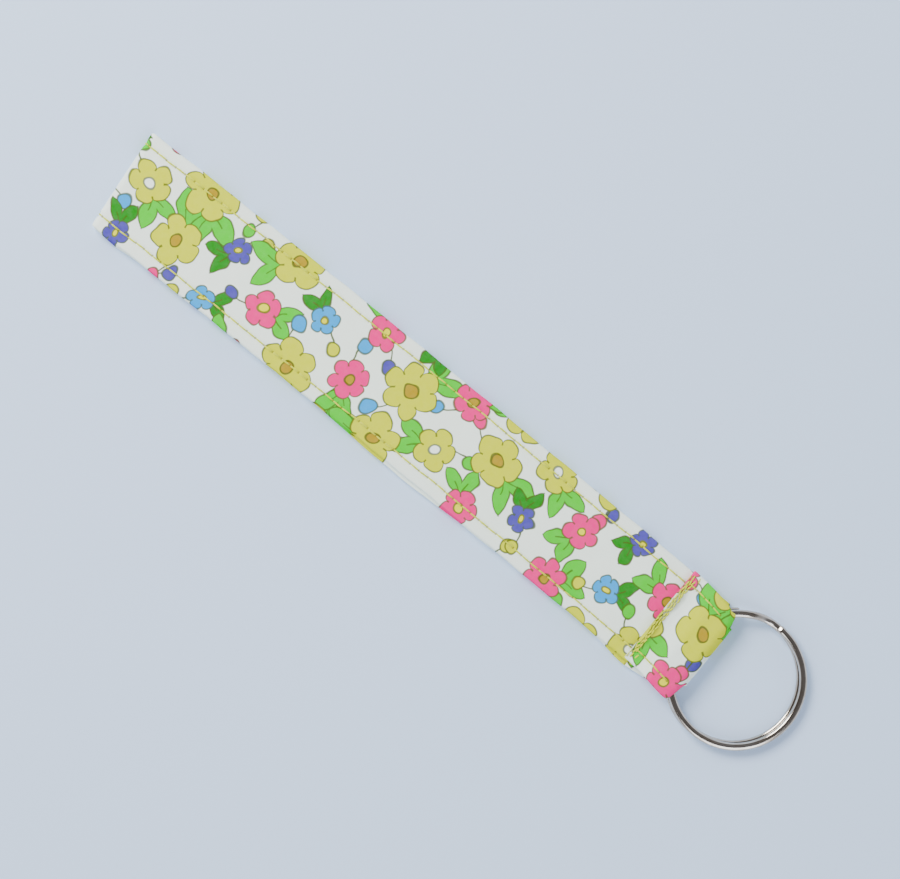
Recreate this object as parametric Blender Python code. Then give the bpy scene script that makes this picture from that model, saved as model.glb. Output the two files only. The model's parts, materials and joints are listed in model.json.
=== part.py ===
"""Wristlet keychain: a sewn cotton wrist loop with a steel split ring in a folded cloth tunnel.

It lies flat. +X runs along the strap from the far fold to the ring, +Y across it and +Z up, with
the origin under the middle of the whole object. The loop's two legs lie on each other: the back
leg below, the front leg above. All lengths are in metres.
"""

import math

import bmesh
import bpy
from mathutils import Vector

# Driving dimensions
OVERALL_LENGTH = 0.1952
STRAP_WIDTH = 0.025
STRAP_THICKNESS = 0.0013
PLY = 0.00042
INTERFACING = 0.00022
LAYER_GAP = 0.0003
STACK_LENGTH = 0.171

RING_DIAMETER = 0.032
WIRE_WIDTH = 0.0018
WIRE_THICKNESS = 0.00125
TURN_PITCH = 0.00135
TURN_SHIFT = 0.0006
RING_LIFT = 0.00045
WIRE_CORNER = 0.42 * WIRE_THICKNESS
WIRE_END_ANGLE = math.radians(90)
CROSSING_ANGLE = math.radians(33)
CROSSING_LAP = 0.06 * CROSSING_ANGLE

TACK_TO_FOLD = 0.014
TACK_ROWS = 3
TACK_ROW_PITCH = 0.0013
TACK_MARGIN = 0.0004
TAB_OVERLAP = 0.0037

LEG_STRETCHES = 4
LOOP_OPENING = math.radians(45)
TACK_HINGE_SETBACK = 0.0042
SWING_HINGE_SETBACK = 0.0037
STUB_LENGTH = 0.012
RUN_CLEARANCE = 0.0001

THREAD_RADIUS = 0.00012
THREAD_WAIST = 0.55
STITCH_PITCH = 0.0025
SEAM_INSET = 0.003
GROOVE_WIDTH = 0.0007
GROOVE_DEPTH = 0.0003

# Worked out from them
HALF_WIDTH = STRAP_WIDTH / 2
HALF_LENGTH = OVERALL_LENGTH / 2
SEAM_Y = HALF_WIDTH - SEAM_INSET
CORE_GAP = (STRAP_THICKNESS - 2 * PLY - INTERFACING) / 2
LEVEL = STRAP_THICKNESS + LAYER_GAP
BACK_Z = 0.0
FRONT_Z = LEVEL
TAB_Z = 2 * LEVEL
LOOP_MID_Z = STRAP_THICKNESS + LAYER_GAP / 2
FOLD_CENTRE_X = -HALF_LENGTH + LOOP_MID_Z
RING_FOLD_X = -HALF_LENGTH + STACK_LENGTH
TACK_X = RING_FOLD_X - TACK_TO_FOLD
TACK_END_X = TACK_X + TACK_ROW_PITCH + TACK_MARGIN
TACK_HINGE_X = TACK_X - TACK_HINGE_SETBACK
STRETCH = (TACK_HINGE_X - FOLD_CENTRE_X) / LEG_STRETCHES
SWING_X = TACK_END_X + SWING_HINGE_SETBACK
SWING_Z = (TAB_Z + STRAP_THICKNESS) / 2

RING_HEIGHT = TURN_PITCH + WIRE_THICKNESS
RING_RADIUS = RING_DIAMETER / 2
RING_TILT = math.atan((STRAP_THICKNESS + RING_LIFT) / RING_DIAMETER)
RING_X = HALF_LENGTH - RING_RADIUS * math.cos(RING_TILT) - RING_HEIGHT / 2 * math.sin(RING_TILT)
RING_Z = RING_RADIUS * math.sin(RING_TILT) + RING_HEIGHT / 2 * math.cos(RING_TILT)

# The ring's tunnel
TUNNEL_RUN_IN = 0.0028
TUNNEL_RISE = 0.0036
TUNNEL_START_X = SWING_X - TUNNEL_RUN_IN
TUNNEL_RISE_END_X = TUNNEL_START_X + TUNNEL_RISE
TUNNEL_TOP_Z = 0.0046
TUNNEL_BEND_RADIUS = TUNNEL_TOP_Z / 2
TUNNEL_BEND_X = RING_FOLD_X - TUNNEL_BEND_RADIUS - STRAP_THICKNESS / 2
NOTCH_HALF_WIDTH = 0.0082
NOTCH_DEPTH = 0.0021
NOTCH_BACK_X = RING_FOLD_X - NOTCH_DEPTH
NOTCH_CLEARANCE = 0.00005
NOTCH_START_X = 0.0665

ARC_STEPS = 8
COARSE_STEPS = 5
WIRE_CORNER_STEPS = 2
TURN_STEPS = 44

COTTON = ("cotton_print", (0.86, 0.89, 0.83), 0.85, 0.0)
LINING = ("interfacing_white", (0.80, 0.80, 0.78), 0.9, 0.0)
THREAD = ("thread_lime", (0.78, 0.80, 0.22), 0.6, 0.0)
STEEL = ("nickel_steel", (0.72, 0.69, 0.65), 0.22, 1.0)

ACROSS = (math.radians(90), 0, 0)
ALONG = (math.radians(90), 0, math.radians(90))


def clear_scene():
    for obj in list(bpy.data.objects):
        bpy.data.objects.remove(obj)


def new_collection(name):
    made = bpy.data.collections.new(name)
    bpy.context.scene.collection.children.link(made)
    return made


def new_material(look):
    name, colour, roughness, metallic = look
    made = bpy.data.materials.new(name)
    made.use_nodes = True
    shader = made.node_tree.nodes["Principled BSDF"]
    shader.inputs["Base Color"].default_value = (*colour, 1.0)
    shader.inputs["Roughness"].default_value = roughness
    shader.inputs["Metallic"].default_value = metallic
    made.diffuse_color = (*colour, 1.0)
    return made


clear_scene()
PARTS = new_collection("wristlet_keychain")
CUTTERS = new_collection("cutters")


def new_axis(name, place, parent=None, tilt=0.0):
    """An empty on a joint's axis, which the moving pieces are parented to."""
    axis = bpy.data.objects.new(name, None)
    axis.empty_display_size = 0.004
    PARTS.objects.link(axis)
    axis.parent = parent
    bpy.context.view_layer.update()
    base = parent.matrix_world.translation if parent else Vector((0, 0, 0))
    axis.location = Vector(place) - base
    axis.rotation_euler = (0, tilt, 0)
    bpy.context.view_layer.update()
    return axis


def finish_part(obj, look, axis, place):
    """Names the part's material and hangs it on its joint's empty, at a place in the world."""
    obj.data.materials.clear()
    obj.data.materials.append(new_material((obj.name + "_" + look[0], *look[1:])))
    obj.parent = axis
    obj.location = axis.matrix_world.inverted() @ Vector(place)
    bpy.context.view_layer.update()
    return obj


def as_mesh(curve_object):
    """The same object as a mesh with its caps welded on."""
    graph = bpy.context.evaluated_depsgraph_get()
    mesh = bpy.data.meshes.new_from_object(curve_object.evaluated_get(graph))
    form = bmesh.new()
    form.from_mesh(mesh)
    bmesh.ops.remove_doubles(form, verts=form.verts, dist=1e-6)
    bmesh.ops.recalc_face_normals(form, faces=form.faces)
    form.to_mesh(mesh)
    form.free()
    made = bpy.data.objects.new(curve_object.name + "_mesh", mesh)
    made.rotation_euler = curve_object.rotation_euler
    PARTS.objects.link(made)
    name = curve_object.name
    bpy.data.objects.remove(curve_object)
    made.name = name
    return made


def add_outline(curve, outline):
    spline = curve.splines.new("POLY")
    spline.points.add(len(outline) - 1)
    for point, (u, v) in zip(spline.points, outline):
        point.co = (u, v, 0, 1)
    spline.use_cyclic_u = True


def new_slab(name, outlines, depth, turn):
    """Flat outlines filled and extruded by a depth, then turned to lie across or along the strap."""
    curve = bpy.data.curves.new(name, "CURVE")
    curve.dimensions = "2D"
    curve.fill_mode = "BOTH"
    curve.extrude = depth / 2
    for outline in outlines:
        add_outline(curve, outline)
    obj = bpy.data.objects.new(name, curve)
    obj.rotation_euler = turn
    PARTS.objects.link(obj)
    bpy.context.view_layer.update()
    return as_mesh(obj)


def new_cutter(name, low, high):
    """A box from its low corner to its high corner."""
    mesh = bpy.data.meshes.new(name)
    form = bmesh.new()
    bmesh.ops.create_cube(form, size=1.0)
    size = Vector(high) - Vector(low)
    bmesh.ops.scale(form, vec=size, verts=form.verts)
    form.to_mesh(mesh)
    form.free()
    cutter = bpy.data.objects.new(name, mesh)
    cutter.location = (Vector(high) + Vector(low)) / 2
    cutter.hide_render = True
    cutter.display_type = "WIRE"
    CUTTERS.objects.link(cutter)
    return cutter


def as_cutter(obj, place):
    """Moves a mesh from the parts to the cutters."""
    obj.location = place
    obj.hide_render = True
    obj.display_type = "WIRE"
    PARTS.objects.unlink(obj)
    CUTTERS.objects.link(obj)
    return obj


def cut(obj, cutter):
    """The manifold solver, because the exact one loses faces of plies this thin."""
    boolean = obj.modifiers.new("cut_" + cutter.name, "BOOLEAN")
    boolean.operation = "DIFFERENCE"
    boolean.solver = "MANIFOLD"
    boolean.object = cutter


def arc(centre, radius, start, end, steps):
    """Points on an arc, from one angle to another, in a flat outline's own axes."""
    points = []
    for step in range(steps + 1):
        angle = start + (end - start) * step / steps
        points.append((centre[0] + radius * math.cos(angle), centre[1] + radius * math.sin(angle)))
    return points


def hoop(radius):
    """A closed circle of points whose corners keep clear of the quarter turns."""
    steps = 4 * ARC_STEPS
    start = math.pi / steps
    return arc((0, 0), radius, start, start + 2 * math.pi, steps)[:-1]


def strap_section(groove_on_top):
    """The ply wrap across the strap: folded at +Y, open at -Y, with the two seams' channels."""
    half = STRAP_THICKNESS / 2
    slot_end = HALF_WIDTH - PLY - CORE_GAP
    outer = []
    for side in (-1, 1):
        outer.append((side * SEAM_Y - GROOVE_WIDTH / 2, 0))
        outer.append((side * SEAM_Y - GROOVE_WIDTH / 2, GROOVE_DEPTH))
        outer.append((side * SEAM_Y + GROOVE_WIDTH / 2, GROOVE_DEPTH))
        outer.append((side * SEAM_Y + GROOVE_WIDTH / 2, 0))
    bottom = [] if groove_on_top else outer
    top = [(y, STRAP_THICKNESS - z) for y, z in reversed(outer)] if groove_on_top else []
    fold = arc((HALF_WIDTH - half, half), half, -math.pi / 2, math.pi / 2, ARC_STEPS)
    slot = [
        (-HALF_WIDTH, STRAP_THICKNESS),
        (-HALF_WIDTH, STRAP_THICKNESS - PLY),
        (slot_end, STRAP_THICKNESS - PLY),
        (slot_end, PLY),
        (-HALF_WIDTH, PLY),
        (-HALF_WIDTH, 0),
    ]
    return bottom + fold + top + slot


def new_strap_cloth(name, axis, low_x, high_x, base_z, groove_on_top):
    """One straight stretch of the four-ply cotton."""
    length = high_x - low_x
    cloth = new_slab(name, [strap_section(groove_on_top)], length, ALONG)
    return finish_part(cloth, COTTON, axis, ((low_x + high_x) / 2, 0, base_z))


def new_strap_core(name, axis, low_x, high_x, base_z):
    """The interfacing between the plies of one straight stretch."""
    low = PLY + CORE_GAP
    high = low + INTERFACING
    end = HALF_WIDTH - PLY - 2 * CORE_GAP
    outline = [(-HALF_WIDTH + PLY, low), (end, low), (end, high), (-HALF_WIDTH + PLY, high)]
    core = new_slab(name, [outline], high_x - low_x, ALONG)
    return finish_part(core, LINING, axis, ((low_x + high_x) / 2, 0, base_z))


def new_thread(name, axis, route, cyclic=False):
    """A row of stitches: thick in the middle of each stitch and pulled thin at each needle hole."""
    curve = bpy.data.curves.new(name, "CURVE")
    curve.dimensions = "3D"
    curve.bevel_depth = THREAD_RADIUS
    curve.bevel_resolution = 1
    curve.use_fill_caps = True
    spline = curve.splines.new("POLY")
    spline.points.add(len(route) - 1)
    middle = sum((Vector(place) for place in route), Vector()) / len(route)
    for index, (point, place) in enumerate(zip(spline.points, route)):
        point.co = (*(Vector(place) - middle), 1)
        point.radius = 1.0 if index % 2 else THREAD_WAIST
    obj = bpy.data.objects.new(name, curve)
    PARTS.objects.link(obj)
    return finish_part(obj, THREAD, axis, middle)


def stitch_stations(start, end):
    """Places along a seam, two for each stitch: a needle hole and the stitch's middle, in turn."""
    stitches = max(1, round(abs(end - start) / STITCH_PITCH))
    count = 2 * stitches
    return [start + (end - start) * step / count for step in range(count + 1)]


def new_seams(name, axis, low_x, high_x, z):
    """The two edge seams of one straight stretch."""
    made = []
    for side, sign in (("left", 1), ("right", -1)):
        route = [(x, sign * SEAM_Y, z) for x in stitch_stations(low_x, high_x)]
        made.append(new_thread(f"{name}_seam_{side}", axis, route))
    return made


def seam_height(base_z, groove_on_top):
    depth = THREAD_RADIUS + (GROOVE_DEPTH - 2 * THREAD_RADIUS) / 2
    return base_z + STRAP_THICKNESS - depth if groove_on_top else base_z + depth


def new_stretch(name, axis, low_x, high_x, base_z, groove_on_top, seams=True):
    """Cloth, interfacing and seams of one straight stretch of the strap."""
    new_strap_cloth(name + "_cloth", axis, low_x, high_x, base_z, groove_on_top)
    new_strap_core(name + "_interfacing", axis, low_x, high_x, base_z)
    if seams:
        new_seams(name, axis, low_x, high_x, seam_height(base_z, groove_on_top))


def hinge_setback(angle, reach):
    """How far a square end stays from its hinge so that two of them can turn by this angle."""
    return reach * math.tan(angle / 2) + RUN_CLEARANCE


def stretch_ends(index):
    """Low and high X of one leg's stretch, counted from the tack towards the far fold."""
    tack_setback = hinge_setback(LOOP_OPENING, LOOP_MID_Z)
    middle_setback = hinge_setback(2 * LOOP_OPENING / 3, STRAP_THICKNESS / 2)
    high = TACK_HINGE_X - index * STRETCH
    low = high - STRETCH
    high -= tack_setback if index == 0 else middle_setback
    low += LAYER_GAP if index == LEG_STRETCHES - 1 else middle_setback
    return low, high


def build_tack_zone(root):
    """Where every layer is sewn together: back leg, front leg's end, and the tab's end on top."""
    low_x = TACK_HINGE_X + hinge_setback(LOOP_OPENING, LOOP_MID_Z)
    new_stretch("tack_back", root, low_x, TACK_END_X, BACK_Z, False)
    new_stretch("tack_front_end", root, low_x, TACK_END_X, FRONT_Z, True, seams=False)
    new_stretch("tab_end", root, TACK_END_X - TAB_OVERLAP, TACK_END_X, TAB_Z, True, seams=False)
    top_z = TAB_Z + STRAP_THICKNESS + THREAD_RADIUS + RUN_CLEARANCE
    reach = HALF_WIDTH - PLY
    for row in range(TACK_ROWS):
        x = TACK_X + (row - (TACK_ROWS - 1) / 2) * TACK_ROW_PITCH
        route = [(x, y, top_z) for y in stitch_stations(-reach, reach)]
        new_thread(f"tack_stitch_row_{row + 1}", root, route)


def build_leg(name, root, base_z, groove_on_top):
    """One leg of the wrist loop, as a chain of stretches, each hinged on the one before."""
    axis = root
    for index in range(LEG_STRETCHES):
        hinge_z = LOOP_MID_Z if index == 0 else base_z + STRAP_THICKNESS / 2
        place = (TACK_HINGE_X - index * STRETCH, 0, hinge_z)
        axis = new_axis(f"{name}_{index + 1}_axis", place, axis)
        low_x, high_x = stretch_ends(index)
        if name == "back_leg" and index == LEG_STRETCHES - 1:
            low_x = FOLD_CENTRE_X + STUB_LENGTH + LAYER_GAP / 2
        new_stretch(f"{name}_{index + 1}", axis, low_x, high_x, base_z, groove_on_top)
    return axis


def build_far_fold(front_end):
    """The roll at the far end, and the short stretch below it that meets the back leg."""
    axis = new_axis("far_fold_axis", (FOLD_CENTRE_X, 0, LOOP_MID_Z), front_end)
    outer = LOOP_MID_Z
    inner = LAYER_GAP / 2
    centre = (0, 0)
    half_turn = (math.pi / 2, 3 * math.pi / 2)
    outline = arc(centre, outer, *half_turn, 2 * ARC_STEPS)
    outline += arc(centre, inner, *half_turn[::-1], COARSE_STEPS)
    roll = new_slab("far_fold_cloth", [outline], STRAP_WIDTH, ACROSS)
    finish_part(roll, COTTON, axis, (FOLD_CENTRE_X, 0, LOOP_MID_Z))
    seam_radius = outer - THREAD_RADIUS - (GROOVE_DEPTH - 2 * THREAD_RADIUS) / 2
    channel = [hoop(outer + PLY), hoop(outer - GROOVE_DEPTH)]
    for side, sign in (("left", 1), ("right", -1)):
        cutter = new_slab(f"far_fold_channel_{side}", channel, GROOVE_WIDTH, ACROSS)
        cut(roll, as_cutter(cutter, (FOLD_CENTRE_X, sign * SEAM_Y, LOOP_MID_Z)))
        arc_route = arc(centre, seam_radius, *half_turn, 2 * COARSE_STEPS)
        route = [(FOLD_CENTRE_X + x, sign * SEAM_Y, LOOP_MID_Z + z) for x, z in arc_route]
        new_thread(f"far_fold_seam_{side}", axis, route)
    low_x = FOLD_CENTRE_X + LAYER_GAP
    high_x = FOLD_CENTRE_X + STUB_LENGTH - LAYER_GAP / 2
    new_stretch("far_fold_return", axis, low_x, high_x, BACK_Z, False)


def tunnel_path(offset, spare=0.0):
    """The tunnel's side view at an offset from the middle of the cloth, from below round to the top.

    Its two ends run past the cloth's ends by the spare length.
    """
    low = STRAP_THICKNESS / 2
    tab = TAB_Z + STRAP_THICKNESS / 2
    top = TUNNEL_TOP_Z + STRAP_THICKNESS / 2
    slope = math.atan2(top - tab, TUNNEL_RISE_END_X - TUNNEL_START_X)
    bend_centre = (TUNNEL_BEND_X, (low + top) / 2)
    bend_radius = (top - low) / 2 + offset
    points = [(TUNNEL_START_X - spare, low - offset)]
    points += arc(bend_centre, bend_radius, -math.pi / 2, math.pi / 2, ARC_STEPS)
    points.append((TUNNEL_RISE_END_X - offset * math.tan(slope / 2), top + offset))
    points.append((TUNNEL_START_X - spare, tab + offset / math.cos(slope) - spare * math.tan(slope)))
    return points


def tunnel_band(half, spare=0.0):
    """The closed side view of a layer that follows the tunnel, as thick as twice this half."""
    return tunnel_path(half, spare) + tunnel_path(-half, spare)[::-1]


def tunnel_notches(name, clearance):
    """Boxes that open the tunnel's two outer corners, where the ring's wire comes out."""
    made = []
    for side, sign in (("left", 1), ("right", -1)):
        near = NOTCH_HALF_WIDTH - clearance
        ys = sorted((sign * near, sign * (HALF_WIDTH + STRAP_THICKNESS)))
        low = (NOTCH_START_X, ys[0], STRAP_THICKNESS + NOTCH_CLEARANCE)
        high = (RING_FOLD_X + STRAP_THICKNESS, ys[1], TUNNEL_TOP_Z - NOTCH_CLEARANCE)
        made.append(new_cutter(f"{name}_mouth_{side}", low, high))
        low = (NOTCH_BACK_X - clearance, ys[0], -STRAP_THICKNESS)
        high = (RING_FOLD_X + STRAP_THICKNESS, ys[1], 2 * STRAP_THICKNESS)
        made.append(new_cutter(f"{name}_corner_{side}", low, high))
    return made


def build_tunnel(root):
    """The strap's end folded round the ring: below it, up round the fold, and back over it."""
    axis = new_axis("ring_tunnel_axis", (SWING_X, 0, SWING_Z), root)
    half = STRAP_THICKNESS / 2
    cloth = new_slab("ring_tunnel_cloth", [tunnel_band(half)], STRAP_WIDTH, ACROSS)
    finish_part(cloth, COTTON, axis, (0, 0, 0))
    slot_low = -HALF_WIDTH - PLY
    slot_high = HALF_WIDTH - PLY - CORE_GAP
    slot = new_slab("ring_tunnel_slot", [tunnel_band(half - PLY, PLY)], slot_high - slot_low, ACROSS)
    cut(cloth, as_cutter(slot, (0, (slot_low + slot_high) / 2, 0)))
    for cutter in tunnel_notches("ring_tunnel", 0.0):
        cut(cloth, cutter)
    core_width = STRAP_WIDTH - 3 * PLY
    core = new_slab("ring_tunnel_interfacing", [tunnel_band(INTERFACING / 2)], core_width, ACROSS)
    finish_part(core, LINING, axis, (0, 0, 0))
    for cutter in tunnel_notches("ring_tunnel_core", CORE_GAP):
        cut(core, cutter)
    build_tunnel_seams(axis, cloth)
    return axis


def build_tunnel_seams(axis, cloth):
    """Edge seams over and under the tunnel."""
    top_z = TUNNEL_TOP_Z + STRAP_THICKNESS + THREAD_RADIUS + RUN_CLEARANCE
    start_z = TAB_Z + STRAP_THICKNESS + THREAD_RADIUS + 2 * RUN_CLEARANCE
    under_z = seam_height(BACK_Z, False)
    for side, sign in (("left", 1), ("right", -1)):
        y = sign * SEAM_Y
        route = []
        for x in stitch_stations(TUNNEL_START_X, TUNNEL_BEND_X):
            share = min(1.0, (x - TUNNEL_START_X) / (TUNNEL_RISE_END_X - TUNNEL_START_X))
            route.append((x, y, start_z + share * (top_z - start_z)))
        new_thread(f"ring_tunnel_top_seam_{side}", axis, route)
        low = (TUNNEL_START_X - PLY, y - GROOVE_WIDTH / 2, -GROOVE_DEPTH)
        high = (RING_FOLD_X, y + GROOVE_WIDTH / 2, GROOVE_DEPTH)
        cut(cloth, new_cutter(f"ring_tunnel_channel_{side}", low, high))
        route = [(x, y, under_z) for x in stitch_stations(TUNNEL_START_X, NOTCH_BACK_X - PLY)]
        new_thread(f"ring_tunnel_under_seam_{side}", axis, route)


def ring_route():
    """The wire's middle in the ring's own axes: a flat turn on top, a crossing, a flat turn below.

    The lower turn sits a little nearer the strap than the upper one.
    """
    radius = RING_RADIUS - WIRE_WIDTH / 2
    top_end = WIRE_END_ANGLE - 2 * math.pi + CROSSING_ANGLE
    low_start = top_end - CROSSING_ANGLE + CROSSING_LAP
    low_end = top_end - 2 * math.pi + CROSSING_LAP
    route = []
    for step in range(TURN_STEPS + 1):
        share = step / TURN_STEPS
        route.append((WIRE_END_ANGLE + (top_end - WIRE_END_ANGLE) * share, 0.0))
    for step in range(1, COARSE_STEPS):
        share = step / COARSE_STEPS
        eased = share * share * (3 - 2 * share)
        route.append((top_end + (low_start - top_end) * share, eased))
    for step in range(TURN_STEPS + 1):
        share = step / TURN_STEPS
        route.append((low_start + (low_end - low_start) * share, 1.0))
    points = []
    for angle, sunk in route:
        x = radius * math.cos(angle) - TURN_SHIFT * sunk
        points.append((x, radius * math.sin(angle), TURN_PITCH * (0.5 - sunk)))
    return points


def new_wire_section():
    """The wire's rounded rectangle, as a flat curve to sweep."""
    profile = bpy.data.curves.new("wire_section", "CURVE")
    profile.dimensions = "2D"
    outline = []
    for turn, (side, level) in enumerate(((1, 1), (-1, 1), (-1, -1), (1, -1))):
        centre = (side * (WIRE_WIDTH / 2 - WIRE_CORNER), level * (WIRE_THICKNESS / 2 - WIRE_CORNER))
        quarter = (turn * math.pi / 2, (turn + 1) * math.pi / 2)
        outline += arc(centre, WIRE_CORNER, *quarter, WIRE_CORNER_STEPS)
    add_outline(profile, outline)
    section = bpy.data.objects.new("wire_section", profile)
    section.hide_render = True
    CUTTERS.objects.link(section)
    return section


def build_ring(tunnel_axis):
    """The split ring, one flat-sided wire in two turns, with its crossing near the tunnel."""
    axis = new_axis("split_ring_axis", (RING_X, 0, RING_Z), tunnel_axis, RING_TILT)
    wire = bpy.data.curves.new("split_ring", "CURVE")
    wire.dimensions = "3D"
    wire.twist_mode = "Z_UP"
    wire.bevel_mode = "OBJECT"
    wire.bevel_object = new_wire_section()
    wire.use_fill_caps = True
    path = wire.splines.new("POLY")
    route = ring_route()
    path.points.add(len(route) - 1)
    for point, place in zip(path.points, route):
        point.co = (*place, 1)
    ring = bpy.data.objects.new("split_ring", wire)
    PARTS.objects.link(ring)
    bpy.context.view_layer.update()
    finish_part(as_mesh(ring), STEEL, axis, (RING_X, 0, RING_Z))


root_axis = new_axis("tack_root", (TACK_X, 0, 0))
build_tack_zone(root_axis)
front_axis = build_leg("front_leg", root_axis, FRONT_Z, True)
build_leg("back_leg", root_axis, BACK_Z, False)
build_far_fold(front_axis)
swing_axis = build_tunnel(root_axis)
build_ring(swing_axis)
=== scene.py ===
"""Looks of the wristlet keychain: printed cotton strap, lime topstitching and a nickel split ring.

The strip is one long piece of cloth, followed by the distance s along it, from the front leg's end at
the tack, round the far fold, back under itself, round the ring and on to the tab's end. Places on it
are (s, y, n): along, across and out from its middle. Lengths are in millimetres up to the meshes,
which are in metres.
"""

import json
import math
import random

import bpy
import numpy as np
from mathutils import Matrix, Vector


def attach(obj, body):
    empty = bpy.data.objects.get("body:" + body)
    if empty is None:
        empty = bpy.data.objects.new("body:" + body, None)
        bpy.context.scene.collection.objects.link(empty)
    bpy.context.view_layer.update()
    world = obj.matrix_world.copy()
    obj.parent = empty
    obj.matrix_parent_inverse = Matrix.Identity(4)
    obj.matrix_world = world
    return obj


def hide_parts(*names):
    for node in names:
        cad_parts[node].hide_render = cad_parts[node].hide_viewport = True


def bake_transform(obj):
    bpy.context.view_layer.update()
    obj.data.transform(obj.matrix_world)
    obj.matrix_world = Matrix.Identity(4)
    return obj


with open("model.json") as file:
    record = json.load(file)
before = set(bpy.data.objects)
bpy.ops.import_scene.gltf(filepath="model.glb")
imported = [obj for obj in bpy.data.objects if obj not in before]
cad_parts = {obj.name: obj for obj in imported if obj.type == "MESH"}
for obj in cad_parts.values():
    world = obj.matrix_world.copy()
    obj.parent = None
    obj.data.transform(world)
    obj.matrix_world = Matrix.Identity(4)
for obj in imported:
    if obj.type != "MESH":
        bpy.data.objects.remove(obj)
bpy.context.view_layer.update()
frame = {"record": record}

MM = 0.001

# The strip, as in the solids
HALF_WIDTH = 12.5
HALF_THICK = 0.65
LEVEL = 1.6
FRONT_END_X = 61.1
TAB_END_X = 58.5
FAR_X = -96.15
FAR_RADIUS = 0.8
BEND_X = 70.45
BEND_RADIUS = 2.3
BACK_Z = HALF_THICK
FRONT_Z = BACK_Z + LEVEL
TAB_Z = FRONT_Z + LEVEL
FOLD_LEAN = 0.105
MOUTH_DRAW = 4.2
MOUTH_KEEP = 6.5
CORNER_WEAR = 0.6
SEAM_Y = 9.5
STITCH = 2.5
TACK_ROWS = (58.8, 59.3, 59.8)
TACK_STITCH = 1.4
THREAD_RADIUS = 0.19

# The ring, as in the solids
RING_RADIUS = 16.0
WIRE_WIDTH = 1.8
WIRE_THICKNESS = 1.25
TURN_PITCH = 1.35
TURN_SHIFT = 0.6
WIRE_END = math.radians(90)
CROSSING = math.radians(33)

# The two turned-in edges at -Y
LIP_RADIUS = 0.31
LIP_LEVEL = 0.34
UPPER_LIP_Y = 12.2
LOWER_LIP_Y = 12.38
SLIT_Y = 11.5

# How fine the meshes are
STEP_ALONG = 0.25
STEP_ACROSS = 0.42
STEP_SEAM = 0.2
STITCH_ROWS = 9
STITCH_SIDES = 8
WIRE_SIDES = 28


def tone(red, green, blue, depth=1.0):
    """A colour from 0-255 screen values, in linear light, with its saturation raised by the depth."""
    shares = [value / 255 for value in (red, green, blue)]
    linear = [share / 12.92 if share <= 0.04 else ((share + 0.055) / 1.055) ** 2.4 for share in shares]
    grey = 0.21 * linear[0] + 0.72 * linear[1] + 0.07 * linear[2]
    return (*[max(0.004, grey + (c - grey) * depth) for c in linear], 1.0)


DYE = 1.35
WHITE = tone(248, 255, 246, 1.3)
YELLOW = tone(202, 206, 36, DYE)
PALE_YELLOW = tone(226, 220, 110, DYE)
OCHRE = tone(160, 138, 10, DYE)
GREEN = tone(104, 194, 84, DYE)
DARK_GREEN = tone(52, 124, 54, DYE)
PINK = tone(216, 64, 124, DYE)
BLUE = tone(74, 152, 208, DYE)
PURPLE = tone(74, 68, 146, DYE)
OLIVE = tone(72, 84, 34, DYE)
LIME = tone(192, 198, 12, 1.5)


def smooth(value, low, high):
    """0 before low, 1 after high, with an even rise between."""
    share = np.clip((np.asarray(value, float) - low) / (high - low), 0, 1)
    return share * share * (3 - 2 * share)


def bell(value, centre, reach):
    return np.exp(-(((np.asarray(value, float) - centre) / reach) ** 2))


# ---------------------------------------------------------------- the strip's shape


def strip_line():
    """Points of the strip's middle line in side view, close together, as x and z."""
    fine = 0.05
    half_turn = np.linspace(0, math.pi, 60)
    runs = []
    x = np.arange(FRONT_END_X, FAR_X, -fine)
    runs.append((x, np.full_like(x, FRONT_Z)))
    runs.append((FAR_X - FAR_RADIUS * np.sin(half_turn), BACK_Z + FAR_RADIUS * (1 + np.cos(half_turn))))
    x = np.arange(FAR_X + fine, BEND_X, fine)
    runs.append((x, np.full_like(x, BACK_Z)))
    runs.append((BEND_X + BEND_RADIUS * np.sin(half_turn), BACK_Z + BEND_RADIUS * (1 - np.cos(half_turn))))
    x = np.arange(BEND_X - fine, TAB_END_X, -fine)
    top_z = BACK_Z + 2 * BEND_RADIUS
    runs.append((x, TAB_Z + (top_z - TAB_Z) * smooth(x, 61.4, 66.6)))
    return np.concatenate([r[0] for r in runs]), np.concatenate([r[1] for r in runs])


LINE_X, LINE_Z = strip_line()
LINE_S = np.concatenate([[0], np.cumsum(np.hypot(np.diff(LINE_X), np.diff(LINE_Z)))])
LINE_DX = np.gradient(LINE_X, LINE_S)
LINE_DZ = np.gradient(LINE_Z, LINE_S)

STRIP_LENGTH = LINE_S[-1]
FAR_START = FRONT_END_X - FAR_X
FAR_MIDDLE = FAR_START + math.pi * FAR_RADIUS / 2
BACK_START = FAR_START + math.pi * FAR_RADIUS
BEND_START = BACK_START + BEND_X - FAR_X
BEND_MIDDLE = BEND_START + math.pi * BEND_RADIUS / 2
BEND_END = BEND_START + math.pi * BEND_RADIUS


def on_front(x):
    return FRONT_END_X - x


def on_back(x):
    return BACK_START + x - FAR_X


def on_tab(x):
    """Distance along the strip at this x on its top run."""
    top = LINE_S > BEND_END
    return float(np.interp(-x, -LINE_X[top], LINE_S[top]))


def print_x(s):
    """Where along the print this place is. It runs back after each fold, like the strip."""
    there = FRONT_END_X - s
    back = FRONT_END_X - 2 * FAR_MIDDLE + s
    again = FRONT_END_X - 2 * FAR_MIDDLE + 2 * BEND_MIDDLE - s
    return np.where(s < FAR_MIDDLE, there, np.where(s < BEND_MIDDLE, back, again))


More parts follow.
